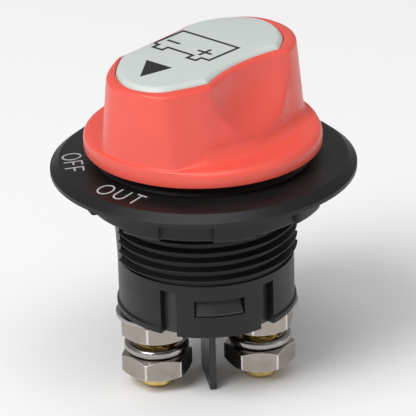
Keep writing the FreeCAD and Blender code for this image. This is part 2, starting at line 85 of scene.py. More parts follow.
# Knob
RIM_WIDTH = 1.7
RIM_SWELL_NEAR = 1.1
RIM_SWELL_FAR = 1.9
RIM_THIN_BACK = 0.8
SWELL_HALF = math.radians(46.5)
BACK_SWELL_HALF = math.radians(31.0)
RIM_ROUND = 1.25
RECESS_DEPTH = 1.5
RECESS_GAP = 0.22
RECESS_LIP = [(0.0, 0.15), (0.08, 0.03), (0.2, 0.0)]  # (outward, below the rim)
DRAFT = math.tan(math.radians(5.4))
GRIP_LIMIT_R = 28.9
BASE_TOP_ABOVE = 4.2
SHOULDER_FILLET = 3.2
SHOULDER_FILLET_SHARE = 0.6  # the most that the fillet takes of the shoulder's width
BASE_ROUND = 1.8
BASE_ROUND_SHARE = 0.34
BASE_ROUND_LEAST = 0.25
BASE_FOOT = [(0.0, 0.35), (0.1, 0.1), (0.35, 0.0)]  # (inward, above the bottom)
BASE_WALL = 2.5
BASE_HOLLOW = 2.4
CAVITY_INSET = 1.0
CAVITY_HALF_W = 8.0
CAVITY_BELOW_RIM = 3.5
SCOOP_R = 43.0
SCOOP_DROP_R = 20.0
SCOOP_FLOOR_W = 11.1
SCOOP_CENTRE_U = -0.5
INSERT_BEVEL = 1.4
INSERT_BEVEL_POWER = 1.8
INSERT_RISE = 1.1
INSERT_EASE = 0.04
INSERT_FOOT = [(0.05, 0.02), (0.0, 0.1)]  # (inward, above the insert's underside)
INSERT_SHOULDER = [(0.0, 0.15), (INSERT_EASE, 0.0)]  # (inward, below the foot of the bevel)
NEAR_END = [(13.6, 13.6), (19.4, 11.0), (24.7, 8.0), (26.9, 3.0), (26.4, -1.8), (23.0, -7.2),
            (19.0, -10.7), (13.4, -14.1)]
FAR_END = [(-13.4, -14.3), (-18.4, -12.6), (-22.9, -9.2), (-25.9, -4.6), (-26.2, 0.0),
           (-24.2, 5.0), (-20.2, 9.6), (-13.9, 13.3)]
BACK_SAG = 0.3
FRONT_BULGE = 3.0

# How widely the corner between two of the knob's surfaces is rounded
RECESS_SOFT = 0.5
RIM_SOFT = 1.0
WALL_SOFT = 1.6
LIMIT_SOFT = 0.8
CAVITY_SOFT = 1.5

# Nodes given a lighter, glossier copy of their slot's material: painted light, so their faces come out
# lighter
PAINTED_LIGHTER_NODES = {"terminal_base": "black_painted_lighter"}

# Battery printed on the insert, as (u, w) points of its own drawing, turned about DRAWN_AT,
# shortened along u and set down at PRINTED_AT; the triangle is already in the knob's axes
DRAWN_AT = (-0.75, -1.65)
PRINTED_AT = (-1.89, -3.01)
BATTERY_TURN = math.radians(3.0)
BATTERY_STRETCH = 0.94
BATTERY_FRONT, BATTERY_BACK = 4.9, -6.4
BATTERY_LEFT, BATTERY_RIGHT = -10.8, 7.5
MINUS_POLE = (-9.1, -6.1)
PLUS_POLE = (2.2, 5.0)
POLE_TIP = 7.15
SIGNS = [[(1.1, -9.6), (1.1, -5.4)], [(1.45, 0.9), (1.45, 5.4)],
         [(-0.9, 3.2), (1.15, 3.2)], [(1.75, 3.2), (3.75, 3.2)]]
TRIANGLE = [(12.65, -6.5), (21.8, -0.8), (12.9, 1.75)]
PICTOGRAM_STROKE = 0.78

# Nuts: each face's chamfer is a cone from NUT_CONE_R, NUT_CONE_WIDTH wide and NUT_CONE_DROP deep
HEX_APOTHEM = 8.0
HEX_SOFT = 0.5
NUT_FACE_R = 7.45
NUT_FACE_EASE = 0.02
NUT_CONE_R = 7.6
NUT_CONE_WIDTH = 1.9
NUT_CONE_DROP = 1.08
NUT_CONE_SOFT = 0.1
NUT_BORE_R = 5.05
NUT_BORE_CHAMFER = 0.55
# Painted highlight on the nuts: least chamfer radius for it at the corners, its width along the
# chamfer's edge, and its spread round each corner in degrees
HIGHLIGHT_FROM_R = 9.0
HIGHLIGHT_WIDTH = 0.14
HIGHLIGHT_CORNER_DEGREES = 1.5

# Flat washers
WASHER_BORE_R = 5.25
WASHER_BORE_EASE = 0.15
WASHER_LOWER_EDGE = [(0.25, 0.0), (0.07, 0.1), (0.0, 0.3)]  # (inward, above the bottom)
WASHER_UPPER_EDGE = [(0.0, 0.35), (0.1, 0.12), (0.35, 0.0)]  # (inward, below the top)

# Lock washers
LOCK_WASHER_BORE_R = 5.3
LOCK_WASHER_GAP = math.radians(5.0)
LOCK_WASHER_RISE = 0.55
LOCK_WASHER_SINK = 0.1
WIRE_SQUARENESS = 0.8

# Studs
STUD_R = 5.0
STUD_PITCH = 1.5
THREAD_DEPTH = 0.75
THREAD_RINGS = 9  # rings of points along each turn of the thread
RIDGE_SLOPE = 1.15
RIDGE_FLAT = 0.05
PLAIN_TIP = 1.6
TIP_FACE_R = 2.6
TIP_EDGE = [(0.75, 0.0), (0.62, 0.06), (0.1, 0.58), (0.0, 0.72)]  # (inside the core, above the end)
STUD_HEAD = 2.4
STUD_HEAD_R = 7.5
STUD_HEAD_EASE = 0.2
STUD_NECK = 4.0
THREAD_END_GAP = 0.2
BARREL_BORE_R = 18.5

# Panel nut
PANEL_NUT_NOTCHES = 8
NOTCH_PLACE = math.radians(-62.2)
NOTCH_HALF = math.radians(12.5)
NOTCH_EASE = math.radians(0.7)
NOTCH_DEPTH = 1.2
PANEL_NUT_BORE_R = 23.1
PANEL_NUT_ROUND = 0.75
PANEL_NUT_SIDE_ABOVE = 1.2
PANEL_NUT_EDGE = [(0.12, 0.12), (0.4, 0.0)]  # (inward, below the top)
PANEL_NUT_BORE_LOWER = 0.6
PANEL_NUT_BORE_UPPER = 0.4

# Noise in cycles per metre and bump heights in metres
DRIFT_SCALE, CLOUD_SCALE, GRAIN_SCALE = 60.0, 240.0, 5200.0
PATCH_SCALE, STREAK_SCALE = 350.0, 900.0
GRAIN_HEIGHT = 0.00004
STREAK_HEIGHT = 0.00003
NOISE_LOW, NOISE_HIGH = 0.3, 0.7

# Stage, in metres, and lights: azimuth, elevation, distance, size and power
FLOOR_HALF = 6.0
LIGHTS = {"key": (-48, 48, 3.0, (1.36, 1.36), 61.0),
          "fill": (60, 12, 3.2, (1.2, 2.0), 6.0),
          "front_top": (4, 68, 3.2, (1.76, 1.76), 28.0)}
WORLD_STRENGTH = 0.30

# Camera: angles, distance in metres, and how far right of and below the origin it aims
CAMERA_AZIMUTH = math.radians(-8.3)
CAMERA_ELEVATION = math.radians(24.2)
CAMERA_ROLL = math.radians(-1.46)
CAMERA_DISTANCE = 0.8
CAMERA_LENS = 279.8
CAMERA_AIM_RIGHT = 0.82
CAMERA_AIM_BELOW = 10.70


# ---------------------------------------------------------------- meshes

def piece_from(name, points, faces, smooth_angle=40.0):
    """Mesh object from points in millimetres, smooth except across sharp edges."""
    mesh = bpy.data.meshes.new(name)
    mesh.from_pydata((np.asarray(points) * MM).tolist(), [], faces)
    mesh.validate()
    mesh.update()
    piece = bpy.data.objects.new(name, mesh)
    bpy.context.scene.collection.objects.link(piece)
    mesh.shade_smooth()
    mesh.set_sharp_from_angle(angle=math.radians(smooth_angle))
    return piece


def ring_faces(rings, count, closed):
    """Quads between neighbouring rings of count points; closed joins the last ring to the first."""
    faces = []
    pairs = [(k, k + 1) for k in range(rings - 1)]
    if closed:
        pairs.append((rings - 1, 0))
    for a, b in pairs:
        for i in range(count):
            j = (i + 1) % count
            faces.append((a * count + i, a * count + j, b * count + j, b * count + i))
    return faces


def stacked(name, rings, smooth_angle):
    """Closed solid from rings of points, with a fan over the first ring and the last."""
    count = len(rings[0])
    points = np.vstack(rings)
    faces = ring_faces(len(rings), count, False)
    first, last = len(points), len(points) + 1
    points = np.vstack([points, rings[0].mean(0), rings[-1].mean(0)])
    tail = (len(rings) - 1) * count
    for i in range(count):
        j = (i + 1) % count
        faces.append((first, j, i))
        faces.append((last, tail + i, tail + j))
    return piece_from(name, points, faces, smooth_angle)


def hooped(name, rings, smooth_angle):
    """Closed solid with a hole: rings run out along the outside and back through the hole."""
    faces = ring_faces(len(rings), len(rings[0]), True)
    return piece_from(name, np.vstack(rings), faces, smooth_angle)


def around(count):
    """Angles of count points evenly spaced round a ring."""
    return np.linspace(0.0, 2 * math.pi, count, endpoint=False)


def quarter(count):
    """Angles of count points from 0 to a right angle, both ends included."""
    return np.linspace(0.0, math.pi / 2, count)


def polar_ring(theta, radius, height, centre=(0.0, 0.0), turn=0.0):
    """Ring of points at the given radius and height for each angle of theta."""
    radius = np.broadcast_to(radius, theta.shape)
    height = np.broadcast_to(height, theta.shape)
    x = centre[0] + radius * np.cos(theta + turn)
    y = centre[1] + radius * np.sin(theta + turn)
    return np.stack([x, y, height], 1)


def soft_min(a, b, width):
    """Smaller of a and b, with the corner between them rounded over width."""
    blend = np.clip(0.5 + 0.5 * (b - a) / width, 0.0, 1.0)
    return b + (a - b) * blend - width * blend * (1.0 - blend)


def box_mm(node):
    """Lowest and highest corners of a CAD node at rest, in millimetres."""
    low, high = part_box(node)
    return np.array(low) / MM, np.array(high) / MM


def replace_node(piece, node, body, material):
    """Let a new piece stand for a CAD node."""
    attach(piece, body)
    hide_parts(node)
    piece.data.materials.append(material)


# ---------------------------------------------------------------- materials

class Nodes:
    """Short way to build a material's node tree."""

    def __init__(self, name):
        self.material = bpy.data.materials.new(name)
        self.material.use_nodes = True
        self.tree = self.material.node_tree
        self.shader = self.tree.nodes["Principled BSDF"]

    def add(self, kind, **values):
        node = self.tree.nodes.new(kind)
        for key, value in values.items():
            if hasattr(node, key):
                setattr(node, key, value)
            else:
                node.inputs[key.replace("_", " ")].default_value = value
        return node

    def link(self, out_socket, in_socket):
        self.tree.links.new(out_socket, in_socket)

    def noise(self, scale, detail=3.0, stretch=None):
        """Noise over the object's place, scale in cycles per metre."""
        node = self.add("ShaderNodeTexNoise", Scale=scale, Detail=detail)
        coordinate = self.add("ShaderNodeTexCoord").outputs["Object"]
        if stretch:
            mapping = self.add("ShaderNodeMapping")
            mapping.inputs["Scale"].default_value = stretch
            self.link(coordinate, mapping.inputs["Vector"])
            coordinate = mapping.outputs["Vector"]
        self.link(coordinate, node.inputs["Vector"])
        return node.outputs["Fac"]

    def spread(self, value, low, high):
        """Noise taken from its usual range to the range from low to high."""
        node = self.add("ShaderNodeMapRange")
        node.inputs["From Min"].default_value = NOISE_LOW
        node.inputs["From Max"].default_value = NOISE_HIGH
        node.inputs["To Min"].default_value = low
        node.inputs["To Max"].default_value = high
        self.link(value, node.inputs["Value"])
        return node.outputs["Result"]

    def mix(self, factor, a, b):
        """Colour a where factor is 0 and colour b where it is 1."""
        node = self.add("ShaderNodeMix", data_type="RGBA")
        self.link(factor, node.inputs["Factor"])
        colours = [s for s in node.inputs if s.type == "RGBA"]
        colours[0].default_value = (*a, 1.0)
        colours[1].default_value = (*b, 1.0)
        return [s for s in node.outputs if s.type == "RGBA"][0]

    def bump(self, height, strength, distance, normal=None):
        node = self.add("ShaderNodeBump", Strength=strength, Distance=distance)
        self.link(height, node.inputs["Height"])
        if normal is not None:
            self.link(normal, node.inputs["Normal"])
        return node.outputs["Normal"]


def plastic(name, colour, shade, roughness, grain, edge=0.0, coat=0.0, shine=0.5):
    """Moulded plastic: slow colour drift, spark-eroded grain, and softened edges."""
    nodes = Nodes(name)
    shader = nodes.shader
    drift = nodes.noise(DRIFT_SCALE, 4.0)
    tint = nodes.mix(nodes.spread(drift, 0.0, 1.0), colour, shade)
    nodes.link(tint, shader.inputs["Base Color"])
    cloud = nodes.noise(CLOUD_SCALE, 5.0)
    nodes.link(nodes.spread(cloud, roughness - 0.04, roughness + 0.05), shader.inputs["Roughness"])
    normal = None
    if edge:
        normal = nodes.add("ShaderNodeBevel", samples=6, Radius=edge * MM).outputs["Normal"]
    fine = nodes.noise(GRAIN_SCALE, 2.0)
    nodes.link(nodes.bump(fine, grain, GRAIN_HEIGHT, normal), shader.inputs["Normal"])
    shader.inputs["IOR"].default_value = 1.49
    shader.inputs["Specular IOR Level"].default_value = shine
    shader.inputs["Coat Weight"].default_value = coat
    shader.inputs["Coat Roughness"].default_value = 0.25
    return nodes.material


def metal(name, colour, shade, roughness, streak, grain=0.15, painted_edge_highlight=None):
    """Plated or turned metal: patchy lustre, fine streaks across the Z axis, and a painted highlight, a
    brighter colour where a mesh attribute marks the edges.
    """
    nodes = Nodes(name)
    shader = nodes.shader
    shader.inputs["Metallic"].default_value = 1.0
    patches = nodes.noise(PATCH_SCALE, 4.0)
    tint = nodes.mix(nodes.spread(patches, 0.0, 1.0), colour, shade)
    # Painted highlight: a brighter colour where the mesh attribute marks the edges
    if painted_edge_highlight:
        edge_highlight_mask = nodes.add("ShaderNodeAttribute", attribute_name="edge_highlight_mask").outputs["Fac"]
        edge_highlit_tint = nodes.mix(edge_highlight_mask, colour, painted_edge_highlight)
        colours = [s for s in edge_highlit_tint.node.inputs if s.type == "RGBA"]
        nodes.link(tint, colours[0])
        tint = edge_highlit_tint
    nodes.link(tint, shader.inputs["Base Color"])
    lines = nodes.noise(STREAK_SCALE, 3.0, stretch=(0.35, 0.35, streak))
    nodes.link(nodes.spread(lines, roughness - 0.06, roughness + 0.09), shader.inputs["Roughness"])
    nodes.link(nodes.bump(lines, grain, STREAK_HEIGHT), shader.inputs["Normal"])
    return nodes.material


def make_materials():
    """Every material, by the name of the material slot, or by a node's entry where it gets a lighter
    copy as painted light.
    """
    return {
        "knob_red": plastic("red_grip_plastic", (0.86, 0.105, 0.074), (0.81, 0.092, 0.064),
                            0.36, 0.10, coat=0.10),
        "insert_grey": plastic("pale_grey_plastic", (0.62, 0.67, 0.645), (0.60, 0.65, 0.625),
                               0.42, 0.08),
        "body_black": plastic("black_moulded_plastic", (0.0065, 0.0065, 0.0067),
                              (0.0095, 0.0095, 0.0098), 0.42, 0.16, edge=0.18, shine=0.4),
        # Painted light: a lighter, glossier copy of the black plastic for the terminal base
        "black_painted_lighter": plastic("black_plastic_painted_lighter", (0.019, 0.019, 0.0195),
                              (0.026, 0.026, 0.0265), 0.36, 0.16, edge=0.15, shine=0.5),
        "rotor_black": plastic("glass_filled_nylon", (0.035, 0.035, 0.037), (0.05, 0.05, 0.052),
                               0.55, 0.30, edge=0.12),
        "washer_plastic": plastic("natural_acetal", (0.75, 0.74, 0.68), (0.70, 0.69, 0.62),
                                  0.45, 0.06),
        "seal_rubber": plastic("nitrile_rubber", (0.015, 0.015, 0.015), (0.022, 0.022, 0.022),
                               0.70, 0.25),
        "brass": metal("turned_brass", (0.84, 0.63, 0.25), (0.74, 0.53, 0.19), 0.20, 4.0, 0.06),
        # The nuts' last colour is a painted highlight for their corners and chamfer edges
        "nickel": metal("satin_nickel", (0.41, 0.37, 0.33), (0.36, 0.325, 0.29), 0.28, 3.0, 0.06,
                        (0.86, 0.83, 0.79)),
        "spring_steel": metal("polished_spring_steel", (0.44, 0.42, 0.40), (0.36, 0.34, 0.33),
                              0.20, 5.0, 0.05),
        "steel": metal("zinc_plated_steel", (0.46, 0.45, 0.44), (0.40, 0.39, 0.38), 0.30, 3.0),
        "copper": metal("plain_copper", (0.78, 0.38, 0.22), (0.66, 0.30, 0.17), 0.28, 4.0),
        "silver": metal("silver_contact", (0.82, 0.81, 0.78), (0.72, 0.71, 0.68), 0.24, 2.0),
        "print_white": plastic("pad_print_white", (0.50, 0.50, 0.50), (0.42, 0.42, 0.42),
                               0.55, 0.10),
        "print_dark": plastic("pad_print_dark", (0.010, 0.011, 0.012), (0.016, 0.017, 0.018),
                              0.50, 0.10),
    }


# ---------------------------------------------------------------- knob

def through(points, steps=14):
    """Smooth curve through the points (Catmull-Rom)."""
    pts = np.array(points, float)
    pts = np.vstack([2 * pts[0] - pts[1], pts, 2 * pts[-1] - pts[-2]])
    t = np.linspace(0.0, 1.0, steps, endpoint=False)[:, None]
    curve = []
    for a, b, c, d in zip(pts, pts[1:], pts[2:], pts[3:]):
        curve.append(0.5 * (2 * b + (c - a) * t + (2 * a - 5 * b + 4 * c - d) * t ** 2
                            + (3 * b - a - 3 * c + d) * t ** 3))
    curve.append(pts[-2][None])
    return np.vstack(curve)


def grip_outline():
    """Edge of the insert before the scoop is cut, as a closed loop of (u, w) points."""
    near, far = through(NEAR_END), through(FAR_END)
    s = np.linspace(0.0, 1.0, 40)[1:-1, None]
    back = near[-1] + (far[0] - near[-1]) * s
    back[:, 1] += BACK_SAG * np.sin(math.pi * s[:, 0])
    front = far[-1] + (near[0] - far[-1]) * s
    front[:, 1] += FRONT_BULGE * (1.0 - (2.0 * s[:, 0] - 1.0) ** 2)
    return np.vstack([near, back, far, front])


OUTLINE = grip_outline()
THETA = around(720)


def rim_swell():
    """Extra width of the rim: more towards the grip's two ends, less along its back."""
    u, w = OUTLINE.T
    half = np.where((u < 0) & (w < 0), BACK_SWELL_HALF, SWELL_HALF)
    share = math.pi * np.minimum(1.0, np.arctan2(np.abs(w), np.abs(u)) / half)
    most = np.where(u > 0, RIM_SWELL_NEAR, RIM_SWELL_FAR)
    thin = np.where(w < 0, RIM_THIN_BACK * (1.0 - np.cos(share)) / 2, 0.0)
    return most * np.sqrt(np.maximum(0.0, np.cos(share / 2))) - thin


def outline_radius(offset):
    """Distance from the knob's axis to the outline moved outward by offset, for each angle."""
    ahead = np.roll(OUTLINE, -1, 0) - np.roll(OUTLINE, 1, 0)
    outward = np.stack([-ahead[:, 1], ahead[:, 0]], 1)
    outward /= np.linalg.norm(outward, axis=1, keepdims=True)
    share = min(max((offset - RECESS_GAP) / (RIM_WIDTH - RECESS_GAP), 0.0), 1.0)
    moved = OUTLINE + outward * (offset + share * rim_swell())[:, None]
    angle = np.arctan2(moved[:, 1], moved[:, 0]) % (2 * math.pi)
    order = np.argsort(angle)
    radius = np.hypot(*moved.T)[order]
    radius = np.interp(THETA, angle[order], radius, period=2 * math.pi)
    reach = 5 + round(6 * max(0.0, offset - RIM_WIDTH))
    kernel = np.hanning(2 * reach + 1)
    padded = np.concatenate([radius[-reach:], radius, radius[:reach]])
    return np.convolve(padded, kernel / kernel.sum(), "valid")


def scoop_radius(drop, offset):
    """Distance from the axis to the thumb scoop's ring-shaped surface, drop below the rim."""
    reach = SCOOP_R - SCOOP_DROP_R + math.sqrt(max(SCOOP_DROP_R ** 2 - drop ** 2, 0.0))
    centre_w = SCOOP_FLOOR_W + offset + SCOOP_R
    along = SCOOP_CENTRE_U * np.cos(THETA) + centre_w * np.sin(THETA)
    inside = along ** 2 - SCOOP_CENTRE_U ** 2 - centre_w ** 2 + reach ** 2
    radius = along - np.sqrt(np.maximum(inside, 0.0))
    return np.where((inside > 0) & (along > 0), radius, FAR_OUT)


def grip_radius(drop, offset, scoop_offset, softness):
    """Outline cut by the scoop, drop below the rim, and kept inside GRIP_LIMIT_R."""
    radius = soft_min(outline_radius(offset), scoop_radius(drop, scoop_offset), softness)
    return soft_min(radius, np.full_like(radius, GRIP_LIMIT_R), LIMIT_SOFT)


def knob_ring(radius, height):
    """Ring of points about the knob's own axes, turned to where the pointer rests."""
    return polar_ring(THETA, radius, height, turn=POINTER)


def cavity_radius():
    """Inside of the hollow grip; it stays clear of the scoop."""
    straight = CAVITY_HALF_W / np.maximum(np.sin(THETA), 0.05)
    return soft_min(outline_radius(-RIM_WIDTH - CAVITY_INSET), straight, CAVITY_SOFT)


def make_knob_shell(material):
    """Hollow red grip: recess, rounded rim, drafted wall with its scoop, and round base."""
    low, high = box_mm("knob_shell")
    rim, bottom = high[2], low[2]
    base_r = (high[0] - low[0]) / 2
    shoulder = bottom + BASE_TOP_ABOVE
    flat = RIM_WIDTH - RIM_ROUND

    def wall(height):
        drop = rim - height
        return grip_radius(drop, RIM_WIDTH + drop * DRAFT, RIM_WIDTH, WALL_SOFT)

    recess = grip_radius(0.0, RECESS_GAP, RECESS_GAP, RECESS_SOFT)
    rings = [knob_ring(recess, rim - RECESS_DEPTH)]
    rings += [knob_ring(recess + outward, rim - below) for outward, below in RECESS_LIP]
    for step in quarter(9):
        offset = flat + RIM_ROUND * math.sin(step)
        drop = RIM_ROUND * (1.0 - math.cos(step))
        rounded = grip_radius(drop, offset + drop * DRAFT, offset, RIM_SOFT)
        rings.append(knob_ring(rounded, rim - drop))
    for height in np.linspace(rim - RIM_ROUND, shoulder + SHOULDER_FILLET, 44)[1:]:
        rings.append(knob_ring(wall(height), height))
    foot = wall(shoulder)
    room = base_r - foot
    fillet = np.minimum(SHOULDER_FILLET, SHOULDER_FILLET_SHARE * room)
    for step in quarter(13):
        above = fillet * (1.0 - math.sin(step))
        radius = foot - DRAFT * above + fillet * (1.0 - math.cos(step))
        rings.append(knob_ring(radius, shoulder + above))
    corner = np.minimum(BASE_ROUND, BASE_ROUND_SHARE * room + BASE_ROUND_LEAST)
    for step in quarter(9):
        rings.append(knob_ring(base_r - corner * (1.0 - math.sin(step)),
                               shoulder - corner * (1.0 - math.cos(step))))
    cavity = cavity_radius()
    rings += [knob_ring(base_r - inward, bottom + above) for inward, above in BASE_FOOT]
    rings += [knob_ring(base_r - BASE_WALL, bottom), knob_ring(base_r - BASE_WALL, bottom + BASE_HOLLOW),
              knob_ring(cavity, bottom + BASE_HOLLOW), knob_ring(cavity, rim - CAVITY_BELOW_RIM)]
    shell = stacked("knob_shell_skin", rings, 50.0)
    replace_node(shell, "knob_shell", "knob", material)


def make_knob_insert(material):
    """Pale insert with a soft bevel that rises from the recess to its top."""
    low, high = box_mm("knob_insert")
    top, bottom = high[2], low[2]
    edge = top - INSERT_RISE

    def ring(inset, height):
        return knob_ring(grip_radius(0.0, -inset, -inset, RECESS_SOFT), height)

    rings = [ring(inward, bottom + above) for inward, above in INSERT_FOOT]
    rings += [ring(inward, edge - below) for inward, below in INSERT_SHOULDER]
    for share in np.linspace(0.0, 1.0, 9)[1:]:
        height = edge + INSERT_RISE * (1.0 - (1.0 - share) ** INSERT_BEVEL_POWER)
        rings.append(ring(INSERT_EASE + INSERT_BEVEL * share, height))
    insert = stacked("knob_insert_skin", rings, 50.0)
    replace_node(insert, "knob_insert", "knob", material)
    return insert


# ---------------------------------------------------------------- prints

def print_piece(name, loops, place, body, material):
    """Thin closed print from flat outlines; place puts a flat (x, y) point on the surface."""
    points, faces = [], []
    for outer in loops:
        start = len(points)
        count = len(outer)
        for lift in (-PRINT_DEPTH, PRINT_DEPTH):
            points += [place(x, y, lift) for x, y in outer]
        faces.append(tuple(start + count + i for i in range(count)))
        faces.append(tuple(start + i for i in reversed(range(count))))
        for i in range(count):
            j = (i + 1) % count
            faces.append((start + i, start + j, start + count + j, start + count + i))
    piece = piece_from(name, points, faces)
    piece.data.materials.append(material)
    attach(piece, body)


def finely(path, step):
    """The same path with no run longer than step."""
    points = [path[0]]
    for (x0, y0), (x1, y1) in zip(path, path[1:]):
        count = max(1, math.ceil(math.hypot(x1 - x0, y1 - y0) / step))
        points += [(x0 + (x1 - x0) * k / count, y0 + (y1 - y0) * k / count)
                   for k in range(1, count + 1)]
    return points


def ribbon(path, width, closed):
    """Quads of a mitred line of the given width along a path of (x, y) points."""
    pts = np.array(path, float)
    count = len(pts)
    left, right = [], []
    for i, point in enumerate(pts):
        before = pts[i - 1] if (closed or i) else None
        after = pts[(i + 1) % count] if (closed or i < count - 1) else None
        runs = []
        if before is not None:
            runs.append((point - before) / np.linalg.norm(point - before))
        if after is not None:
            runs.append((after - point) / np.linalg.norm(after - point))
        normals = [np.array([-r[1], r[0]]) for r in runs]
        mitre = sum(normals)
        mitre /= np.linalg.norm(mitre)
        reach = width / 2 / max(mitre @ normals[0], 0.3)
        left.append(point + mitre * reach)
        right.append(point - mitre * reach)
    spans = range(count) if closed else range(count - 1)
    return [[left[i], right[i], right[(i + 1) % count], left[(i + 1) % count]] for i in spans]


def height_on(target, x, y):
    """Height of an object's top surface at (x, y), found by a ray straight down."""
    hit, place, _, _ = target.ray_cast(Vector((x, y, HIGH_UP)) * MM, Vector((0, 0, -1)))
    if not hit:
        raise RuntimeError("nothing under the print")
    return place.z / MM


def make_pictogram(material, insert):
    """Battery outline with its poles, and the pointer's triangle, on the insert."""
    cos, sin = math.cos(BATTERY_TURN), math.sin(BATTERY_TURN)

    def place(u, w, lift):
        x = u * math.cos(POINTER) - w * math.sin(POINTER)
        y = u * math.sin(POINTER) + w * math.cos(POINTER)
        return (x, y, height_on(insert, x, y) + lift)

    def printed(u, w):
        """Point of the battery's own drawing, moved to where it is printed."""
        away_u, away_w = (u - DRAWN_AT[0]) * BATTERY_STRETCH, w - DRAWN_AT[1]
        return (PRINTED_AT[0] + away_u * cos + away_w * sin,
                PRINTED_AT[1] - away_u * sin + away_w * cos)

    outline = [(BATTERY_BACK, BATTERY_LEFT), (BATTERY_FRONT, BATTERY_LEFT)]
    for left, right in (MINUS_POLE, PLUS_POLE):
        outline += [(BATTERY_FRONT, left), (POLE_TIP, left), (POLE_TIP, right), (BATTERY_FRONT, right)]
    outline += [(BATTERY_FRONT, BATTERY_RIGHT), (BATTERY_BACK, BATTERY_RIGHT)]
    outline = finely(outline + outline[:1], 0.8)[:-1]
    loops = ribbon([printed(*point) for point in outline], PICTOGRAM_STROKE, True)
    for sign in SIGNS:
        loops += ribbon([printed(*point) for point in sign], PICTOGRAM_STROKE, False)
    loops.append(TRIANGLE)
    print_piece("battery_pictogram", loops, place, "knob", material)


def arc(centre_x, centre_y, radius_x, radius_y, start, end, steps):
    """Points along an upright ellipse, angles in degrees."""
    angles = np.radians(np.linspace(start, end, steps))
    return [(centre_x + radius_x * math.cos(a), centre_y + radius_y * math.sin(a)) for a in angles]


def letter(name):
    """Width of a capital letter one unit high, and its strokes."""
    if name == "O":
        return 0.84, [arc(0.42, 0.5, 0.42, 0.5, 0, 354, 60)]
    if name == "U":
        return 0.66, [[(0.0, 1.0)] + arc(0.33, 0.34, 0.33, 0.34, 180, 360, 25) + [(0.66, 1.0)]]
    if name == "T":
        return 0.64, [[(0.0, 1.0), (0.64, 1.0)], [(0.32, 0.96), (0.32, 0.0)]]
    if name == "F":
        return 0.50, [[(0.50, 1.0), (0.0, 1.0), (0.0, 0.0)], [(0.04, 0.52), (0.44, 0.52)]]
    return 0.68, [[(0.0, 0.0), (0.0, 1.0), (0.68, 0.0), (0.68, 1.0)]]


def make_legend(word, material):
    """One straight word on the dial, with the letters' tops towards the knob."""
    angle, foot, gap = LEGENDS[word]
    housing = frame["nodes"]["housing"]
    letters = [letter(name) for name in word]
    total = sum(width for width, _ in letters) + gap * (len(word) - 1)
    loops, left = [], -total / 2
    for name, (width, strokes) in zip(word, letters):
        for stroke in strokes:
            path = [((left + x) * LEGEND_HEIGHT, y * LEGEND_HEIGHT) for x, y in stroke]
            loops += ribbon(finely(path, 0.35), LEGEND_STROKE, name == "O")
        left += width + gap

    def place(x, y, lift):
        r, turn = math.hypot(foot - y, x), angle + math.atan2(x, foot - y)
        x, y = r * math.cos(turn), r * math.sin(turn)
        return (x, y, height_on(housing, x, y) + lift)

    print_piece("legend_" + word, loops, place, "switch_body", material)


# ---------------------------------------------------------------- metal and nut pieces

def corner_turn(node):
    """Angle of one corner of a hexagon node about its own centre."""
    low, high = box_mm(node)
    centre = (low + high) / 2
    points = np.array([v.co for v in frame["nodes"][node].data.vertices]) / MM
    away = points[:, :2] - centre[:2]
    far = away[np.argmax(np.hypot(*away.T))]
    return math.atan2(far[1], far[0])


def hexagon_radius(theta):
    """Hexagon with rounded corners, corners on multiples of 60 degrees."""
    radius = np.full_like(theta, FAR_OUT)
    for k in range(6):
        facing = np.cos(theta - math.radians(60 * k + 30))
        side = np.where(facing > 0.2, HEX_APOTHEM / np.maximum(facing, 0.2), FAR_OUT)
        radius = soft_min(radius, side, HEX_SOFT)
    return radius


def stud_centre(side):
    """Where the stud on that side has its axis, as (x, y)."""
    low, high = box_mm("lock_washer_" + side)
    middle = (low + high) / 2
    return middle[0], middle[1]


def make_nut(node, body, side, material):
    """Hexagon nut with turned chamfers at both faces, rounded corners and a chamfered bore."""
    low, high = box_mm(node)
    bottom, top = low[2], high[2]
    theta = around(360)
    centre, turn = stud_centre(side), corner_turn(node)
    hexagon = hexagon_radius(theta)
    mouth_r = NUT_BORE_R + NUT_BORE_CHAMFER

    def ring(limit, height):
        radius = soft_min(hexagon, np.full_like(hexagon, limit), NUT_CONE_SOFT)
        return polar_ring(theta, radius, height, centre, turn)

    def bore_ring(radius, height):
        return polar_ring(theta, radius, height, centre, turn)

    def edge_highlight_mask(limit):
        """Painted highlight at the six upright corners and where the chamfer meets the faces."""
        off_corner = (np.degrees(theta) + 30.0) % 60.0 - 30.0
        corner = np.exp(-(off_corner / HIGHLIGHT_CORNER_DEGREES) ** 2) if limit > HIGHLIGHT_FROM_R else 0.0
        return np.maximum(corner, np.exp(-((limit - hexagon) / HIGHLIGHT_WIDTH) ** 2))

    cone = [(NUT_CONE_R + NUT_CONE_WIDTH * share, NUT_CONE_DROP * share)
            for share in np.linspace(0.0, 1.0, 22)]
    rings = [bore_ring(NUT_BORE_R, bottom + NUT_BORE_CHAMFER), bore_ring(mouth_r, bottom),
             ring(NUT_FACE_R, bottom)]
    rings += [ring(limit, bottom + NUT_FACE_EASE + drop) for limit, drop in cone]
    rings += [ring(limit, top - NUT_FACE_EASE - drop) for limit, drop in reversed(cone)]
    rings += [ring(NUT_FACE_R, top), bore_ring(mouth_r, top),
              bore_ring(NUT_BORE_R, top - NUT_BORE_CHAMFER)]
    nut = hooped(node + "_skin", rings, 32.0)
    plain = np.zeros((3, len(theta)))
    # Painted highlight mask, kept on the mesh for the material
    edge_highlight = [edge_highlight_mask(limit) for limit, _ in cone]
    edge_highlight = np.vstack([plain, edge_highlight, edge_highlight[::-1], plain])
    nut.data.attributes.new("edge_highlight_mask", "FLOAT", "POINT").data.foreach_set("value", edge_highlight.ravel())
    replace_node(nut, node, body, material)


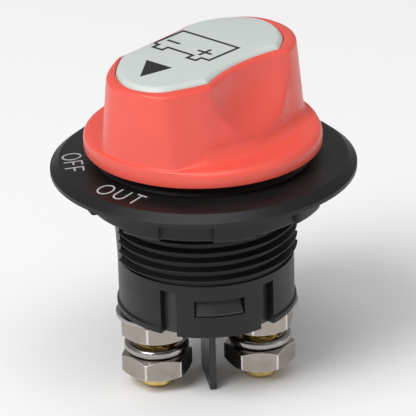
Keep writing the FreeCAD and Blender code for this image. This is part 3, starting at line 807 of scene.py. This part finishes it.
def make_flat_washer(side, material):
    """Thin washer with a punched, eased edge."""
    node = "flat_washer_" + side
    low, high = box_mm(node)
    bottom, top = low[2], high[2]
    outer = (high[0] - low[0]) / 2
    mouth_r = WASHER_BORE_R + WASHER_BORE_EASE
    profile = [(WASHER_BORE_R, bottom + WASHER_BORE_EASE), (mouth_r, bottom)]
    profile += [(outer - inward, bottom + above) for inward, above in WASHER_LOWER_EDGE]
    profile += [(outer - inward, top - below) for inward, below in WASHER_UPPER_EDGE]
    profile += [(mouth_r, top), (WASHER_BORE_R, top - WASHER_BORE_EASE)]
    rings = [polar_ring(around(180), r, z, stud_centre(side)) for r, z in profile]
    washer = hooped(node + "_skin", rings, 35.0)
    replace_node(washer, node, "switch_body", material)


def make_lock_washer(side, material):
    """Split ring of rounded wire whose two ends stand a little apart in height."""
    node = "lock_washer_" + side
    low, high = box_mm(node)
    centre = stud_centre(side)
    middle = (low[2] + high[2]) / 2
    thick = (high[2] - low[2]) / 2 - LOCK_WASHER_SINK
    outer = (high[0] - low[0]) / 2
    sweep = np.linspace(math.pi / 2 + LOCK_WASHER_GAP, math.pi * 2.5 - LOCK_WASHER_GAP, 220)
    section = around(28)
    across = np.sign(np.cos(section)) * np.abs(np.cos(section)) ** WIRE_SQUARENESS
    along = np.sign(np.sin(section)) * np.abs(np.sin(section)) ** WIRE_SQUARENESS
    r = (outer + LOCK_WASHER_BORE_R) / 2 + (outer - LOCK_WASHER_BORE_R) / 2 * across
    rings = []
    for angle, share in zip(sweep, np.linspace(1.0, 0.0, len(sweep))):
        z = middle + LOCK_WASHER_RISE * share - LOCK_WASHER_SINK + thick * along
        rings.append(np.stack([centre[0] + r * math.cos(angle), centre[1] + r * math.sin(angle), z], 1))
    washer = stacked(node + "_skin", rings, 60.0)
    replace_node(washer, node, side + "_clamp", material)


def thread_radius(theta, height, core):
    """Stud's radius at that height: a ridge that climbs one pitch in each turn."""
    phase = (height / STUD_PITCH - theta / (2 * math.pi)) % 1.0
    ridge = np.clip(np.abs(phase - 0.5) * 2.0 * RIDGE_SLOPE - RIDGE_FLAT, 0.0, 1.0)
    return core + THREAD_DEPTH * ridge


def make_stud(side, material):
    """Stud with a real helical thread below its head and a turned, chamfered end."""
    node = "stud_" + side
    low, high = box_mm(node)
    centre = stud_centre(side)
    theta = around(96)
    core = STUD_R - THREAD_DEPTH
    thread_foot = low[2] + PLAIN_TIP
    head_z = high[2] - STUD_HEAD

    def ring(radius, height):
        return polar_ring(theta, radius, height, centre)

    rings = [ring(TIP_FACE_R, low[2])]
    rings += [ring(core - inward, low[2] + above) for inward, above in TIP_EDGE]
    for height in np.arange(thread_foot, head_z - STUD_NECK, STUD_PITCH / THREAD_RINGS):
        run_out = core + max(0.0, height - thread_foot)
        rings.append(ring(np.minimum(thread_radius(theta, height, core), run_out), height))
    rings += [ring(STUD_R, head_z - STUD_NECK + THREAD_END_GAP), ring(STUD_R, head_z)]
    facing = centre[0] * np.cos(theta) + centre[1] * np.sin(theta)
    to_wall = np.sqrt(facing ** 2 + BARREL_BORE_R ** 2 - centre[0] ** 2 - centre[1] ** 2) - facing
    head = np.minimum(STUD_HEAD_R, to_wall)
    rings += [ring(head, head_z), ring(head, high[2] - STUD_HEAD_EASE),
              ring(head - STUD_HEAD_EASE, high[2])]
    stud = stacked(node + "_skin", rings, 34.0)
    replace_node(stud, node, "switch_body", material)


def make_panel_nut(material):
    """Ring nut with shallow notches round its edge and eased edges."""
    low, high = box_mm("panel_nut")
    bottom, top = low[2], high[2]
    outer = (high[0] - low[0]) / 2
    theta = around(1440)
    half = math.pi / PANEL_NUT_NOTCHES
    away = np.abs((theta - NOTCH_PLACE + half) % (2 * half) - half)
    edge = np.clip((NOTCH_HALF - away) / NOTCH_EASE + 0.5, 0.0, 1.0)
    side = outer - NOTCH_DEPTH * edge * edge * (3 - 2 * edge)
    bore = PANEL_NUT_BORE_R
    rings = [polar_ring(theta, bore, bottom + PANEL_NUT_BORE_LOWER),
             polar_ring(theta, bore + PANEL_NUT_BORE_LOWER, bottom)]
    for step in quarter(7):
        rings.append(polar_ring(theta, side - PANEL_NUT_ROUND * (1 - math.sin(step)),
                                bottom + PANEL_NUT_ROUND * (1 - math.cos(step))))
    side_top = top - PANEL_NUT_EDGE[-1][0]
    rings += [polar_ring(theta, side, z)
              for z in np.linspace(bottom + PANEL_NUT_SIDE_ABOVE, side_top, 8)]
    rings += [polar_ring(theta, side - inward, top - below) for inward, below in PANEL_NUT_EDGE]
    rings += [polar_ring(theta, bore + PANEL_NUT_BORE_UPPER, top),
              polar_ring(theta, bore, top - PANEL_NUT_BORE_UPPER)]
    nut = hooped("panel_nut_skin", rings, 35.0)
    replace_node(nut, "panel_nut", "panel_nut", material)


# ---------------------------------------------------------------- stage, light, camera

def make_stage():
    """Plain pale floor under the lowest point of the part."""
    size = FLOOR_HALF
    mesh = bpy.data.meshes.new("floor")
    corners = [(-size, -size, 0), (size, -size, 0), (size, size, 0), (-size, size, 0)]
    mesh.from_pydata(corners, [], [(0, 1, 2, 3)])
    floor = bpy.data.objects.new("floor", mesh)
    floor.location = (0, 0, CAD_LOW.z)
    bpy.context.scene.collection.objects.link(floor)
    nodes = Nodes("pale_floor")
    tint = nodes.mix(nodes.spread(nodes.noise(3.0, 2.0), 0.0, 1.0), (0.97, 0.97, 0.97),
                     (0.955, 0.955, 0.955))
    nodes.link(tint, nodes.shader.inputs["Base Color"])
    nodes.shader.inputs["Roughness"].default_value = 0.9
    mesh.materials.append(nodes.material)


def area_light(name, azimuth, elevation, distance, size, power, aim):
    """Rectangular lamp that faces aim from a direction in degrees; azimuth 0 is the front."""
    light = bpy.data.lights.new(name, "AREA")
    light.shape = "RECTANGLE"
    light.size, light.size_y = size
    light.energy = power
    lamp = bpy.data.objects.new(name, light)
    bpy.context.scene.collection.objects.link(lamp)
    a, e = math.radians(azimuth), math.radians(elevation)
    away = Vector((math.sin(a) * math.cos(e), -math.cos(a) * math.cos(e), math.sin(e)))
    lamp.location = aim + away * distance
    lamp.rotation_euler = (-away).to_track_quat("-Z", "Y").to_euler()


def make_lights():
    """Three soft lamps aimed at the middle of the part, and an even white surround."""
    aim = Vector((0, 0, (CAD_LOW.z + CAD_HIGH.z) / 2))
    for name, setting in LIGHTS.items():
        area_light(name, *setting, aim)
    world = bpy.data.worlds.new("studio")
    world.use_nodes = True
    background = world.node_tree.nodes["Background"]
    background.inputs["Color"].default_value = (1.0, 1.0, 1.0, 1.0)
    background.inputs["Strength"].default_value = WORLD_STRENGTH
    bpy.context.scene.world = world


def make_camera():
    """Long lens from the front, a little to the left, looking down at 24 degrees."""
    azimuth, elevation = CAMERA_AZIMUTH, CAMERA_ELEVATION
    forward = Vector((-math.sin(azimuth) * math.cos(elevation),
                      math.cos(azimuth) * math.cos(elevation), -math.sin(elevation)))
    right = Vector((math.cos(azimuth), math.sin(azimuth), 0.0))
    up = right.cross(forward)
    camera = bpy.data.cameras.new("camera")
    camera.lens = CAMERA_LENS
    camera.sensor_width = 36.0
    camera.clip_start = 0.05
    holder = bpy.data.objects.new("camera", camera)
    bpy.context.scene.collection.objects.link(holder)
    aim = right * (CAMERA_AIM_RIGHT * MM) - up * (CAMERA_AIM_BELOW * MM)
    holder.location = aim - forward * CAMERA_DISTANCE
    holder.rotation_euler = forward.to_track_quat("-Z", "Y").to_euler()
    holder.rotation_euler.rotate_axis("Z", CAMERA_ROLL)
    bpy.context.scene.camera = holder


def main():
    bpy.context.scene.view_settings.view_transform = "Standard"
    materials = make_materials()
    slots = {s["node"]: s["material_slot"] for s in frame["record"]["subparts"]}
    for name, node in frame["nodes"].items():
        node.data.materials.clear()
        node.data.materials.append(materials[PAINTED_LIGHTER_NODES.get(name, slots[name])])
    make_camera()
    make_lights()
    make_stage()
    make_knob_shell(materials["knob_red"])
    insert = make_knob_insert(materials["insert_grey"])
    make_pictogram(materials["print_dark"], insert)
    for word in LEGENDS:
        make_legend(word, materials["print_white"])
    make_panel_nut(materials["body_black"])
    for side in SIDES:
        make_nut("upper_nut_" + side, "switch_body", side, materials["nickel"])
        make_nut("cable_nut_" + side, side + "_clamp", side, materials["nickel"])
        make_flat_washer(side, materials["steel"])
        make_lock_washer(side, materials["spring_steel"])
        make_stud(side, materials["brass"])


main()
